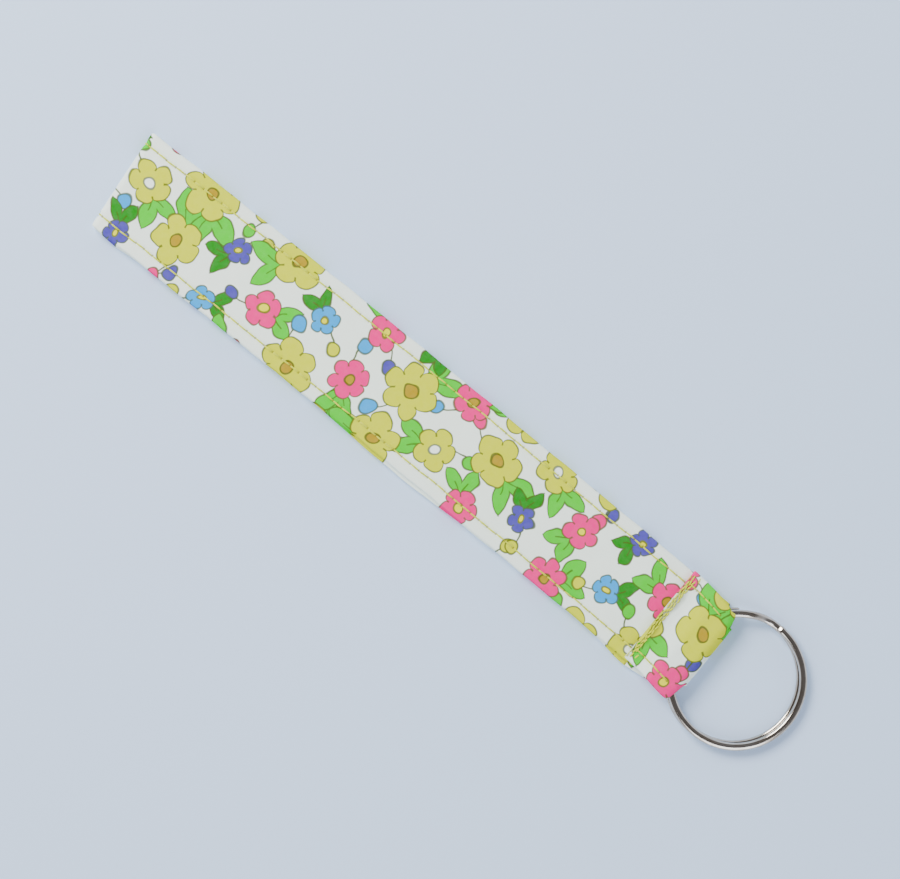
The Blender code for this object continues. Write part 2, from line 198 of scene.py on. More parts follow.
def side_shift(s, x):
    """How far the strip strays sideways: a slight bow, and layers that don't lie quite true."""
    bow = 0.85 * np.clip(1 - ((x + 14) / 86) ** 2, -0.1, 1)
    back = -0.8 * bell(x, -8, 17) - 1.0 * bell(x, 59, 6) - 0.3 * bell(x, -90, 5)
    tab = 0.5 - 1.2 * smooth(x, 57, 73)
    is_back = smooth(s, FAR_START, BACK_START) * (1 - smooth(s, BEND_START, BEND_MIDDLE))
    is_tab = smooth(s, BEND_MIDDLE, BEND_END)
    flutter = 0.05 * np.sin(x / 3.1 + 0.02 * s) + 0.04 * np.sin(x / 1.7 + 1.3)
    return bow + is_back * back + is_tab * tab + flutter


def mouth_squeeze(s, y):
    """Draws the ring fold's two corners in, where the wire comes out of the tunnel.

    On top, the +Y corner is worn round.
    """
    past = s - BEND_START
    inward = smooth(past, -0.7, 0.6) * (1 - smooth(past, 5.0, 6.3))
    worn = smooth(past, 3.6, 5.6) * (1 - smooth(s, BEND_START + 6.6, BEND_END + 1.6))
    edge = HALF_WIDTH - np.maximum(MOUTH_DRAW * inward, CORNER_WEAR * worn * (y > 0))
    drawn = MOUTH_KEEP + (np.abs(y) - MOUTH_KEEP) * (edge - MOUTH_KEEP) / (HALF_WIDTH - MOUTH_KEEP)
    return np.where(np.abs(y) > MOUTH_KEEP, np.sign(y) * drawn, y)


def swell(x, y):
    """Height of the soft waves in the legs, never below the table."""
    wave = np.sin(x / 6.7 + y / 11) + 0.6 * np.sin(x / 3.9 - y / 5 + 1) + 0.4 * np.sin(y / 3.1 + x / 17)
    return 0.055 * (2 + wave) * (1 - smooth(x, 50, 56))


def place(s, y, n):
    """Points in metres for places on the strip."""
    s, y, n = np.broadcast_arrays(np.asarray(s, float), np.asarray(y, float), np.asarray(n, float))
    x = np.interp(s, LINE_S, LINE_X)
    z = np.interp(s, LINE_S, LINE_Z)
    out_x = np.interp(s, LINE_S, LINE_DZ)
    out_z = -np.interp(s, LINE_S, LINE_DX)
    across = mouth_squeeze(s, y)
    px = x + n * out_x
    pz = z + n * out_z + swell(x, y)
    py = across + side_shift(s, x)
    px = px - FOLD_LEAN * across * (1 - smooth(x, -97, -74))
    return np.stack([px, py, pz], -1) * MM


def surface(s, y):
    """How far out the cloth's surface is: puffed between the seams and drawn in at each needle hole."""
    off_seam = np.abs(y) - SEAM_Y
    to_hole = (s + STITCH / 2) % STITCH - STITCH / 2
    in_bend = smooth(s, BEND_START - 1.0, BEND_START + 0.5) * (1 - smooth(s, BEND_END - 1.0, BEND_END))
    pinch = 0.2 * bell(off_seam, 0, 0.62) + 0.17 * np.exp(-(to_hole**2 + off_seam**2) / 0.4**2)
    pinch = pinch * (1 - in_bend)
    middle = 0.05 * np.clip(1 - (np.abs(y) / SEAM_Y) ** 4, 0, 1)
    margin = 0.05 * np.clip(np.sin(math.pi * np.clip(off_seam / 3, 0, 1)), 0, 1)
    ripple = 0.02 * np.sin(s / 1.9 + y * 0.7) + 0.015 * np.sin(s * 1.1 - y * 1.9)
    tack = sum(bell(s, on_tab(x), 0.3) + bell(s, on_back(x), 0.3) for x in TACK_ROWS)
    return HALF_THICK + middle + margin + ripple * (np.abs(y) < 11.8) - pinch - 0.16 * np.clip(tack, 0, 1)


def across_steps():
    """Places across one face, closer together beside the seams."""
    near, far = SEAM_Y - 1.0, SEAM_Y + 1.0
    seam = np.linspace(near, far, round((far - near) / STEP_SEAM) + 1)
    middle = np.linspace(-near, near, round(2 * near / STEP_ACROSS) + 1)[1:-1]
    low = np.linspace(-UPPER_LIP_Y, -far, 5)[:-1]
    high = np.linspace(far, HALF_WIDTH - HALF_THICK, 5)[1:]
    return np.concatenate([low, -seam[::-1], middle, seam, high])


def section():
    """The strip's outline across: place across, height and face (1 outer, -1 inner, 0 edge).

    The cloth is folded at +Y, and its two turned-in edges meet at -Y with a slit between them.
    """
    face = across_steps()
    fold = np.radians(np.linspace(90, -90, 9))[1:-1]
    fold_y = HALF_WIDTH - HALF_THICK + HALF_THICK * np.cos(fold)
    lip = np.radians(np.linspace(90, 270, 7))
    lip_y, lip_n = LIP_RADIUS * np.cos(lip), LIP_RADIUS * np.sin(lip)
    upper_y, upper_n = lip_y - UPPER_LIP_Y, lip_n + LIP_LEVEL
    lower_y, lower_n = lip_y - LOWER_LIP_Y, lip_n - LIP_LEVEL
    slit_y, slit_n = np.array([-SLIT_Y, -SLIT_Y]), np.array([-0.02, 0.02])
    edge_y = [lower_y[::-1], slit_y, upper_y[:0:-1]]
    edge_n = [lower_n[::-1], slit_n, upper_n[:0:-1]]
    inner = face[:0:-1]
    y = np.concatenate([face, fold_y, face[::-1][:-1], *edge_y])
    n = np.concatenate([0 * face, HALF_THICK * np.sin(fold), 0 * inner, *edge_n])
    edge = np.zeros(len(y) - len(face) - len(fold) - len(inner))
    side = np.concatenate([0 * face + 1, 0 * fold, 0 * inner - 1, edge])
    return y, n, side


SECTION = section()


# ---------------------------------------------------------------- meshes


def new_piece(name, points, faces, material, caps=(), layer=None):
    """A closed mesh from points in metres. Its caps' rims are sharp, and layer is its cloth attribute."""
    mesh = bpy.data.meshes.new(name)
    mesh.from_pydata(points.reshape(-1, 3).tolist(), [], faces)
    mesh.shade_smooth()
    if layer is not None:
        held = mesh.attributes.new("cloth_mm", "FLOAT_VECTOR", "POINT")
        held.data.foreach_set("vector", layer.astype(np.float32).ravel())
    if caps:
        ring = np.full(len(mesh.vertices), -1)
        for number, cap in enumerate(caps):
            ring[list(cap)] = number
        ends = np.empty(2 * len(mesh.edges), int)
        mesh.edges.foreach_get("vertices", ends)
        first, second = ring[ends.reshape(-1, 2)].T
        sharp = mesh.attributes.new("sharp_edge", "BOOLEAN", "EDGE")
        sharp.data.foreach_set("value", (first >= 0) & (first == second))
    mesh.materials.append(material)
    obj = bpy.data.objects.new(name, mesh)
    bpy.context.scene.collection.objects.link(obj)
    return obj


def swept_faces(rows, around):
    """Quads of a tube of rows with so many points around, and its two end caps."""
    index = np.arange(rows * around).reshape(rows, around)
    along = np.roll(index, -1, axis=1)
    quads = np.stack([index[:-1], index[1:], along[1:], along[:-1]], -1).reshape(-1, 4).tolist()
    caps = [index[0].tolist(), index[-1][::-1].tolist()]
    return quads + caps, caps


def cloth_piece(name, s_low, s_high, material):
    """One length of the strip as a closed mesh, rounded where the strip really ends."""
    rows = max(2, round((s_high - s_low) / STEP_ALONG))
    s = np.linspace(s_low, s_high, rows + 1)[:, None]
    y, n, side = (part[None, :] for part in SECTION)
    height = np.where(side == 0, n, side * surface(s, y))
    to_end = np.minimum(s, STRIP_LENGTH - s)
    rounding = np.sqrt(np.clip(1 - (1 - np.clip(to_end / 0.5, 0, 1)) ** 2, 0.09, 1))
    points = place(s, y * (0.985 + 0.015 * rounding), height * rounding)
    layer = np.stack(np.broadcast_arrays(print_x(s), y, s), -1)
    faces, caps = swept_faces(rows + 1, y.size)
    return new_piece(name, points, faces, material, caps, layer)


def stitch_profile():
    """Shares along one stitch, its height between hole and crest, and its fullness."""
    share = np.linspace(0, 1, STITCH_ROWS)
    rise = np.sin(math.pi * share) ** 0.45
    full = 0.45 + 0.55 * np.sin(math.pi * share) ** 0.35
    return share, rise, full


def stitch(centre_s, centre_y, reach_s, reach_y, face, crest):
    """One stitch between two needle holes on the outer (1) or inner (-1) face: its points and their s."""
    share, rise, full = stitch_profile()
    turn = np.arange(STITCH_SIDES) * 2 * math.pi / STITCH_SIDES
    s = centre_s + reach_s * (share - 0.5)
    y = centre_y + reach_y * (share - 0.5)
    n = crest - 0.34 * (1 - rise)
    length = math.hypot(reach_s, reach_y)
    radius = THREAD_RADIUS * full[:, None]
    s = s[:, None] - reach_y / length * radius * np.cos(turn)
    y = y[:, None] + reach_s / length * radius * np.cos(turn)
    n = n[:, None] + radius * np.sin(turn)
    return place(s, y, face * n), s


def thread_piece(name, stitches, material):
    """Many stitches as one mesh."""
    faces, caps = swept_faces(STITCH_ROWS, STITCH_SIDES)
    points, along, every_face, every_cap = [], [], [], []
    for number, ((spots, s), inner) in enumerate(stitches):
        start = number * STITCH_ROWS * STITCH_SIDES
        flip = -1 if inner else 1
        points.append(spots.reshape(-1, 3))
        along.append(s.ravel())
        every_face += [[start + corner for corner in face][::flip] for face in faces]
        every_cap += [[start + corner for corner in cap] for cap in caps]
    along = np.concatenate(along)
    layer = np.stack([0 * along, 0 * along, along], -1)
    return new_piece(name, np.concatenate(points), every_face, material, every_cap, layer)


def seam_row(s_low, s_high, y, rng):
    """Stitches of one seam on both faces of the cloth, whose middles are in this length."""
    made = []
    crest = HALF_THICK - 0.2 + 0.14
    for number in range(math.floor(s_low / STITCH), math.ceil(s_high / STITCH)):
        middle = (number + 0.5) * STITCH
        if s_low <= middle < s_high:
            slant = rng.uniform(-0.09, 0.09)
            sway = rng.uniform(-0.05, 0.05)
            reach = STITCH - 0.18
            made.append((stitch(middle, y + sway, reach, slant, 1, crest), False))
            made.append((stitch(middle, y + sway, reach, -slant, -1, crest), True))
    return made


def tack_rows(rng):
    """Rows of short, crowded stitches across the tack, on the tab's top and under the back leg."""
    made = []
    crest, low_crest = HALF_THICK + 0.02, HALF_THICK - 0.12
    for row, x in enumerate(TACK_ROWS):
        y = -11.6 + 0.45 * row
        while y < 11.7:
            lean = rng.uniform(-0.45, 0.45)
            spread = rng.uniform(-0.14, 0.14) + 1.3 * (row - 1) * max(0.0, abs(y) - 9.4) / 3
            made.append((stitch(on_tab(x + spread), y, lean, TACK_STITCH, 1, crest), False))
            made.append((stitch(on_back(x + spread), y, lean, TACK_STITCH, 1, low_crest), False))
            y += TACK_STITCH - 0.1
    return made


# ---------------------------------------------------------------- node materials


class Tree:
    """Short forms for building a node tree."""

    def __init__(self, tree):
        self.tree = tree

    def feed(self, socket, value):
        if isinstance(value, bpy.types.NodeSocket):
            self.tree.links.new(value, socket)
        elif value is not None:
            socket.default_value = value

    def node(self, kind, inputs=(), **settings):
        made = self.tree.nodes.new("ShaderNode" + kind)
        for name, value in settings.items():
            setattr(made, name, value)
        for key, value in dict(inputs).items():
            self.feed(made.inputs[key], value)
        return made

    def math(self, operation, first, second=None, third=None, clamp=False):
        inputs = {0: first, 1: second, 2: third}
        return self.node("Math", inputs, operation=operation, use_clamp=clamp).outputs[0]

    def vector(self, operation, first, second=None, scale=None):
        inputs = {0: first, 1: second}
        if scale is not None:
            inputs["Scale"] = scale
        made = self.node("VectorMath", inputs, operation=operation)
        return made.outputs["Value" if operation in ("LENGTH", "DOT_PRODUCT") else 0]

    def mix(self, share, first, second):
        made = self.node("Mix", data_type="RGBA")
        self.feed(made.inputs["Factor"], share)
        self.feed(made.inputs[6], first)
        self.feed(made.inputs[7], second)
        return made.outputs[2]

    def noise(self, place, scale, detail=2.0, roughness=0.5):
        inputs = {"Vector": place, "Scale": scale, "Detail": detail, "Roughness": roughness}
        return self.node("TexNoise", inputs).outputs["Fac"]

    def ramp(self, value, low, high, to_low=0.0, to_high=1.0):
        inputs = {0: value, 1: low, 2: high, 3: to_low, 4: to_high}
        return self.node("MapRange", inputs, clamp=True).outputs[0]


LINE_HALF = 0.19
SOFT = 0.07


def motif_group(name, sizes, draw):
    """A node group that draws one motif over the cloth's colour.

    draw gets the tree, the two local coordinates and the sizes, and gives how far inside the shape a
    place is and how near a drawn line, both in millimetres.
    """
    tree = bpy.data.node_groups.new(name, "ShaderNodeTree")
    face = tree.interface
    for label in ("Cloth", "Fill", "Line"):
        face.new_socket(label, in_out="INPUT", socket_type="NodeSocketColor")
    for label in ("Place", "Centre"):
        face.new_socket(label, in_out="INPUT", socket_type="NodeSocketVector")
    for label in ("Turn", *sizes):
        face.new_socket(label, in_out="INPUT", socket_type="NodeSocketFloat")
    face.new_socket("Cloth", in_out="OUTPUT", socket_type="NodeSocketColor")
    build = Tree(tree)
    given = tree.nodes.new("NodeGroupInput").outputs
    local = build.vector("SUBTRACT", given["Place"], given["Centre"])
    turned = build.node("VectorRotate", {"Vector": local, "Angle": given["Turn"]}, rotation_type="Z_AXIS")
    parts = build.node("SeparateXYZ", {0: turned.outputs[0]}).outputs
    inside, line = draw(build, parts[0], parts[1], *[given[size] for size in sizes])
    filled = build.mix(build.ramp(inside, -SOFT, SOFT), given["Cloth"], given["Fill"])
    result = filled
    if line is not None:
        drawn = build.ramp(line, LINE_HALF - SOFT, LINE_HALF + SOFT, 0.92, 0.0)
        result = build.mix(drawn, filled, given["Line"])
    out = tree.nodes.new("NodeGroupOutput")
    tree.links.new(result, out.inputs["Cloth"])
    return tree


def draw_flower(build, u, v, radius, petals, depth, notch):
    """Rounded petals in one blot, with a short line between each two from the notch outwards."""
    reach = build.math("SQRT", build.math("MULTIPLY_ADD", u, u, build.math("MULTIPLY", v, v)))
    angle = build.math("MULTIPLY", build.math("ARCTAN2", v, u), build.math("MULTIPLY", petals, 0.5))
    petal = build.math("ABSOLUTE", build.math("COSINE", angle))
    curve = build.math("SUBTRACT", build.math("POWER", petal, 0.6), 1.0)
    edge = build.math("MULTIPLY", radius, build.math("MULTIPLY_ADD", curve, depth, 1.0))
    inside = build.math("SUBTRACT", edge, reach)
    between = build.math("DIVIDE", build.math("MULTIPLY", petal, reach), build.math("MULTIPLY", petals, 0.5))
    start = build.math("SUBTRACT", build.math("MULTIPLY", radius, notch), reach)
    limit = build.math("MAXIMUM", start, build.math("MULTIPLY", inside, -1.0))
    between = build.math("MAXIMUM", between, limit)
    return inside, build.math("MINIMUM", build.math("ABSOLUTE", inside), between)


def draw_leaves(build, u, v, length, width, splay):
    """A pair of pointed leaves that spread from one spot, each with a short midrib."""
    side = build.math("ABSOLUTE", v)
    cosine, sine = build.math("COSINE", splay), build.math("SINE", splay)
    along = build.math("MULTIPLY_ADD", u, cosine, build.math("MULTIPLY", side, sine))
    along = build.math("SUBTRACT", along, length)
    across = build.math("SUBTRACT", build.math("MULTIPLY", side, cosine), build.math("MULTIPLY", u, sine))
    share = build.math("DIVIDE", along, length)
    belly = build.math("MULTIPLY_ADD", build.math("MULTIPLY", share, share), -1.0, 1.0, clamp=True)
    off = build.math("ABSOLUTE", across)
    past_end = build.math("SUBTRACT", build.math("ABSOLUTE", along), length)
    inside = build.math("SUBTRACT", build.math("MULTIPLY", width, build.math("POWER", belly, 0.8)), off)
    inside = build.math("MINIMUM", inside, build.math("MULTIPLY", past_end, -1.0))
    outline = build.math("MAXIMUM", build.math("ABSOLUTE", inside), past_end)
    rib_end = build.math("MULTIPLY_ADD", length, 0.1, along)
    rib = build.math("MAXIMUM", build.math("ADD", off, 0.05), build.math("MAXIMUM", rib_end, past_end))
    return inside, build.math("MINIMUM", outline, rib)


def draw_lobe(build, u, v, length, width):
    """One round bud or flower centre."""
    along = build.math("DIVIDE", u, length)
    across = build.math("DIVIDE", v, width)
    squares = build.math("MULTIPLY_ADD", along, along, build.math("MULTIPLY", across, across))
    smaller = build.math("MINIMUM", length, width)
    inside = build.math("MULTIPLY", build.math("SUBTRACT", 1.0, build.math("SQRT", squares)), smaller)
    return inside, build.math("ABSOLUTE", inside)


def draw_stem(build, u, v, radius, half_angle):
    """Part of a circle, as a line only."""
    reach = build.math("SQRT", build.math("MULTIPLY_ADD", u, u, build.math("MULTIPLY", v, v)))
    off = build.math("ABSOLUTE", build.math("SUBTRACT", reach, radius))
    limit = build.math("MULTIPLY", build.math("COSINE", half_angle), reach)
    line = build.math("MAXIMUM", off, build.math("SUBTRACT", limit, u))
    return build.math("MULTIPLY_ADD", line, -1.0, 0.02), line


def draw_painted_shadow(build, u, v, length, width, strength):
    """A soft patch of colour with no edge: painted shadow, used for the shadow of the tack's thread rows."""
    across = build.math("DIVIDE", v, width)
    along = build.math("DIVIDE", u, length)
    squares = build.math("MULTIPLY_ADD", along, along, build.math("MULTIPLY", across, across))
    share = build.math("SUBTRACT", 1.0, squares, clamp=True)
    share = build.math("MULTIPLY", build.math("MULTIPLY", share, share), strength)
    return build.math("MULTIPLY_ADD", share, 2 * SOFT, -SOFT), None


MOTIFS = {
    "flower": motif_group("motif_flower", ("Radius", "Petals", "Depth", "Notch"), draw_flower),
    "leaves": motif_group("motif_leaves", ("Length", "Width", "Splay"), draw_leaves),
    "lobe": motif_group("motif_lobe", ("Length", "Width"), draw_lobe),
    "stem": motif_group("motif_stem", ("Radius", "Half angle"), draw_stem),
    "painted_shadow": motif_group("motif_painted_shadow", ("Length", "Width", "Strength"), draw_painted_shadow),
}


def sprig(x, y, turn, look):
    """A flower with a pair of leaves on one side and a bud on a bent stem on the other."""
    fill, heart, bud, radius, petals = look
    lean = math.radians(turn)

    def spot(along, across=0.0):
        right = along * math.cos(lean) - across * math.sin(lean)
        return x + right, y + along * math.sin(lean) + across * math.cos(lean)

    stem = radius + 3.6
    half_angle = math.radians(30)
    centre = spot(stem / 2, -stem * math.cos(half_angle))
    leaf = 0.42 * radius + 1.5
    green = GREEN if radius > 3.5 else DARK_GREEN
    greens = [
        ("stem", *centre, turn + 90, (stem, half_angle), OLIVE),
        ("leaves", *spot(-0.7 * radius), turn + 180, (leaf, 0.52 * leaf, math.radians(34)), green),
        ("lobe", *spot(stem), turn, (1.2 + 0.12 * radius, 1.0 + 0.1 * radius), bud),
    ]
    bloom = [
        ("flower", x, y, turn, (radius, petals, 0.3, 0.62), fill),
        ("lobe", x, y, turn, (0.26 * radius, 0.22 * radius), heart),
    ]
    return greens, bloom


# The print's grid, and its sprigs: petals, heart and bud colours, flower radius and petal count
COLUMN = 12.5
DROP = 13.5
SPRIGS = (
    (YELLOW, OCHRE, BLUE, 6.6, 6),
    (PINK, PALE_YELLOW, PURPLE, 4.3, 5),
    (YELLOW, WHITE, GREEN, 5.0, 5),
    (BLUE, PALE_YELLOW, YELLOW, 3.2, 5),
    (YELLOW, OCHRE, PINK, 6.0, 5),
    (PINK, OCHRE, BLUE, 4.7, 6),
    (PURPLE, PALE_YELLOW, YELLOW, 3.1, 5),
)


def floral_print(phase):
    """A plain repeat of sprigs over the whole cloth, in columns that drop by half."""
    greens, blooms = [], []
    for column in range(15):
        for row in (-1, 0, 1):
            x = FAR_X - 8 + COLUMN * column + 1.7 * phase
            y = DROP * (row + 0.5 * (column % 2) - 0.25)
            turn = (137 * column + 211 * row + 50 * phase) % 360
            under, over = sprig(x, y, turn, SPRIGS[(2 * column + 3 * row + phase) % len(SPRIGS)])
            greens += under
            blooms += over
    return greens + blooms


def motif_reach(motif):
    """How far a motif spreads from its place, from its first size."""
    return (2 if motif[0] == "leaves" else 1) * motif[4][0] + 1.2


def picked(motifs, low, high):
    """The motifs that reach into this length of the print."""
    return [m for m in motifs if m[1] + motif_reach(m) > low and m[1] - motif_reach(m) < high]


def new_material(name):
    material = bpy.data.materials.new(name)
    material.use_nodes = True
    tree = material.node_tree
    shader = tree.nodes["Principled BSDF"]
    return material, Tree(tree), shader


def add_print(build, place, motifs):
    """The cloth's white ground with the motifs drawn over it."""
    colour = build.mix(build.noise(place, 0.08), WHITE, tone(236, 248, 234))
    bend = build.node("TexNoise", {"Vector": place, "Scale": 0.19, "Detail": 1.0}).outputs["Color"]
    bent = build.vector("SUBTRACT", bend, (0.5, 0.5, 0.5))
    drawn = build.vector("ADD", place, build.vector("SCALE", bent, scale=2.2))
    for kind, x, y, turn, sizes, fill in motifs:
        made = build.node("Group", node_tree=MOTIFS[kind])
        build.feed(made.inputs["Cloth"], colour)
        build.feed(made.inputs["Place"], drawn)
        made.inputs["Fill"].default_value = fill
        made.inputs["Line"].default_value = [0.85 * a + 0.08 * b for a, b in zip(OLIVE, fill)]
        made.inputs["Centre"].default_value = (x, y, 0)
        made.inputs["Turn"].default_value = -math.radians(turn)
        for number, size in enumerate(sizes):
            made.inputs[6 + number].default_value = size
        colour = made.outputs[0]
    return colour


def cotton(name, motifs):
    """Printed quilting cotton: the print, painted shade in the needle holes, and the weave as a fine relief.
    """
    material, build, shader = new_material(name)
    cloth = build.node("Attribute", attribute_name="cloth_mm").outputs["Vector"]
    parts = build.node("SeparateXYZ", {0: cloth}).outputs
    flat = build.node("CombineXYZ", {0: parts[0], 1: parts[1]}).outputs[0]
    colour = add_print(build, flat, motifs)
    wash = build.ramp(build.noise(flat, 0.7, 4.0, 0.6), 0.3, 0.7, 0.0, 0.03)
    colour = build.mix(wash, colour, tone(250, 250, 226))
    # Painted shade: the cloth is darkened to olive at each seam needle hole, except in the ring fold.
    off_seam = build.math("SUBTRACT", build.math("ABSOLUTE", parts[1]), SEAM_Y)
    to_hole = build.math("WRAP", parts[2], STITCH / 2, -STITCH / 2)
    squares = build.math("MULTIPLY_ADD", off_seam, off_seam, build.math("MULTIPLY", to_hole, to_hole))
    painted_hole_shade = build.ramp(build.math("SQRT", squares), 0.16, 0.36, 0.8, 0.0)
    off_bend = build.math("ABSOLUTE", build.math("SUBTRACT", parts[2], BEND_MIDDLE))
    half_bend = BEND_END - BEND_MIDDLE
    painted_hole_shade = build.math("MULTIPLY", painted_hole_shade, build.ramp(off_bend, half_bend - 0.3, half_bend))
    colour = build.mix(painted_hole_shade, colour, tone(118, 116, 40))
    build.feed(shader.inputs["Base Color"], colour)
    warp = build.node("Mapping", {"Vector": flat, "Scale": (0.5, 5.0, 1.0)}).outputs[0]
    weft = build.node("Mapping", {"Vector": flat, "Scale": (5.0, 0.5, 1.0)}).outputs[0]
    threads = build.math("ADD", build.noise(warp, 0.8, 2.0), build.noise(weft, 0.8, 2.0))
    pick = 2 * math.pi / 0.34
    over = build.math("SINE", build.math("MULTIPLY", parts[0], pick))
    under = build.math("SINE", build.math("MULTIPLY", parts[1], pick))
    weave = build.math("MULTIPLY_ADD", build.math("MULTIPLY", over, under), 0.35, threads)
    rough = build.ramp(threads, 0.7, 1.3, 0.78, 0.92)
    build.feed(shader.inputs["Roughness"], rough)
    relief = build.node("Bump", {"Height": weave, "Strength": 0.35, "Distance": 0.00008})
    build.feed(shader.inputs["Normal"], relief.outputs[0])
    shader.inputs["Specular IOR Level"].default_value = 0.12
    return material


def thread_look():
    """Lime polyester thread, twisted, with painted shade in the twist's grooves and a soft shine."""
    material, build, shader = new_material("thread_lime")
    place_m = build.node("TexCoord").outputs["Object"]
    turned = build.node("Mapping", {"Vector": place_m, "Rotation": (0, 0, math.radians(35))}).outputs[0]
    twist = build.node("TexWave", {"Vector": turned, "Scale": 1100.0, "Distortion": 0.6}).outputs["Fac"]
    shade = build.noise(place_m, 420.0, 2.0)
    base = build.mix(build.ramp(shade, 0.3, 0.7), LIME, tone(214, 218, 60, DYE))
    # Painted shade: the thread is darkened where the twist wave is low, in the grooves between its plies.
    base = build.mix(build.ramp(twist, 0.0, 0.5, 0.35, 0.0), base, tone(170, 166, 48))
    build.feed(shader.inputs["Base Color"], base)
    build.feed(shader.inputs["Roughness"], build.ramp(shade, 0.3, 0.7, 0.42, 0.6))
    relief = build.node("Bump", {"Height": twist, "Strength": 0.5, "Distance": 0.00004})
    build.feed(shader.inputs["Normal"], relief.outputs[0])
    shader.inputs["Sheen Weight"].default_value = 0.2
    return material


def nickel_look():
    """Polished nickel plate with faint drawing marks and smudges."""
    material, build, shader = new_material("polished_nickel")
    place_m = build.node("TexCoord").outputs["Object"]
    smudge = build.noise(place_m, 260.0, 3.0, 0.6)
    marks = build.noise(place_m, 2600.0, 3.0, 0.7)
    warm = build.mix(build.ramp(smudge, 0.35, 0.65), tone(206, 200, 192), tone(184, 174, 162))
    build.feed(shader.inputs["Base Color"], warm)
    build.feed(shader.inputs["Roughness"], build.ramp(smudge, 0.3, 0.7, 0.07, 0.16))
    relief = build.node("Bump", {"Height": marks, "Strength": 0.12, "Distance": 0.00003})
    build.feed(shader.inputs["Normal"], relief.outputs[0])
    shader.inputs["Metallic"].default_value = 1.0
    return material


# ---------------------------------------------------------------- the strap


def reach_of(s_low, s_high):
    ends = print_x(np.linspace(s_low, s_high, 50))
    return float(ends.min()) - 0.5, float(ends.max()) + 0.5


def hinge_x(joint):
    found = [j for j in frame["record"]["behaviour"]["joints"] if j["name"] == joint]
    return found[0]["pos_m"][0] / MM


def bend_between(objs):
    for obj in objs:
        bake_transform(obj)


def strap_piece(name, s_low, s_high, motifs, nodes, seams):
    """Cloth and topstitching of one length of the strip, which stand for these nodes of the solids."""
    look = cotton(name + "_print", picked(motifs, *reach_of(s_low, s_high)))
    cloth = cloth_piece(name, s_low, s_high, look)
    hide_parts(*nodes)
    made = [cloth]
    seam_low, seam_high = max(s_low, 0.6), min(s_high, STRIP_LENGTH - 0.6)
    for side, sign in (("left", 1), ("right", -1)):
        rng = random.Random(name + side)
        stitches = seam_row(seam_low, seam_high, sign * SEAM_Y, rng)
        if seam_high > BEND_START:
            hidden = (BEND_START - 0.5, BEND_END + 0.4)
            stitches = seam_row(seam_low, hidden[0], sign * SEAM_Y, rng)
            stitches += seam_row(hidden[1], seam_high, sign * SEAM_Y, rng)
        thread = thread_piece(f"{name}_stitches_{side}", stitches, THREAD)
        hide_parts(*[node.format(side=side) for node in seams])
        made.append(thread)
    return made


def cloth_nodes(*names):
    return [f"{name}_{part}" for name in names for part in ("cloth", "interfacing")]


def build_legs():
    """Front and back leg, cut in the middle of each stiff stretch between the hinges."""
    tack_x = hinge_x("wrist_loop_open")
    hinges = [tack_x] + [hinge_x(f"front_leg_bend_{number}") for number in (2, 3, 4)]
    stretch = hinges[0] - hinges[1]
    cuts = [x - stretch / 2 for x in hinges]
    motifs = floral_print(0)
    for leg, along in (("front_leg", on_front), ("back_leg", on_back)):
        first = sorted((along(cuts[0]), along(FRONT_END_X if leg == "front_leg" else 60.0)))
        tack = "tack_front_end" if leg == "front_leg" else "tack_back"
        seams = [f"{leg}_1_seam_{{side}}"] + (["tack_back_seam_{side}"] if leg == "back_leg" else [])
        made = strap_piece(f"{leg}_by_tack", *first, motifs, cloth_nodes(tack, leg + "_1"), seams)
        bend_between(made)
        for number in (2, 3, 4):
            low_x = cuts[number - 1]
            nodes = cloth_nodes(f"{leg}_{number}") if leg == "back_leg" or number < 4 else []
            if leg == "back_leg" and number == 4:
                low_x = FAR_X + 12.0
            ends = sorted((along(cuts[number - 2]), along(low_x)))
            seams = [f"{leg}_{number}_seam_{{side}}"] if nodes else []
            made = strap_piece(f"{leg}_middle_{number - 1}", *ends, motifs, nodes, seams)
            bend_between(made)
    return cuts[3]


def build_far_fold(front_cut):
    """The strip's turn at the far end."""
    motifs = floral_print(0)
    nodes = cloth_nodes("front_leg_4", "far_fold_return") + ["far_fold_cloth"]
    seams = [f"{name}_seam_{{side}}" for name in ("front_leg_4", "far_fold", "far_fold_return")]
    made = strap_piece("far_fold", on_front(front_cut), on_back(FAR_X + 12.0), motifs, nodes, seams)
    for obj in made:
        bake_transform(obj)
        layer = np.empty(3 * len(obj.data.vertices))
        obj.data.attributes["cloth_mm"].data.foreach_get("vector", layer)


def build_tunnel():
    """The strip round the ring, and the tab's end on top of the tack."""
    # The last motif is painted shadow: a soft olive patch across the tack rows, standing for the threads'
    # shadow on the cloth.
    motifs = floral_print(6) + [("painted_shadow", TACK_ROWS[1], 0, 0, (1.6, 15.0, 0.75), OLIVE)]
    nodes = cloth_nodes("ring_tunnel", "tab_end")
    seams = ["ring_tunnel_top_seam_{side}", "ring_tunnel_under_seam_{side}"]
    made = strap_piece("ring_tunnel", on_back(60.0), STRIP_LENGTH, motifs, nodes, seams)
    bend_between(made)


def build_tack():
    """The rows of short stitches that hold all the layers."""
    rows = thread_piece("tack_stitches", tack_rows(random.Random("tack")), THREAD)
    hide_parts("tack_stitch_row_1", "tack_stitch_row_2", "tack_stitch_row_3")
    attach(rows, "tack")


# ---------------------------------------------------------------- the ring


def wire_outline():
    """The wire's rounded section, radially and upwards."""
    turn = np.arange(WIRE_SIDES) * 2 * math.pi / WIRE_SIDES
    square = 2 / 2.5
    out = np.sign(np.cos(turn)) * np.abs(np.cos(turn)) ** square
    up = np.sign(np.sin(turn)) * np.abs(np.sin(turn)) ** square
    return np.stack([out * WIRE_WIDTH / 2, up * WIRE_THICKNESS / 2], -1)


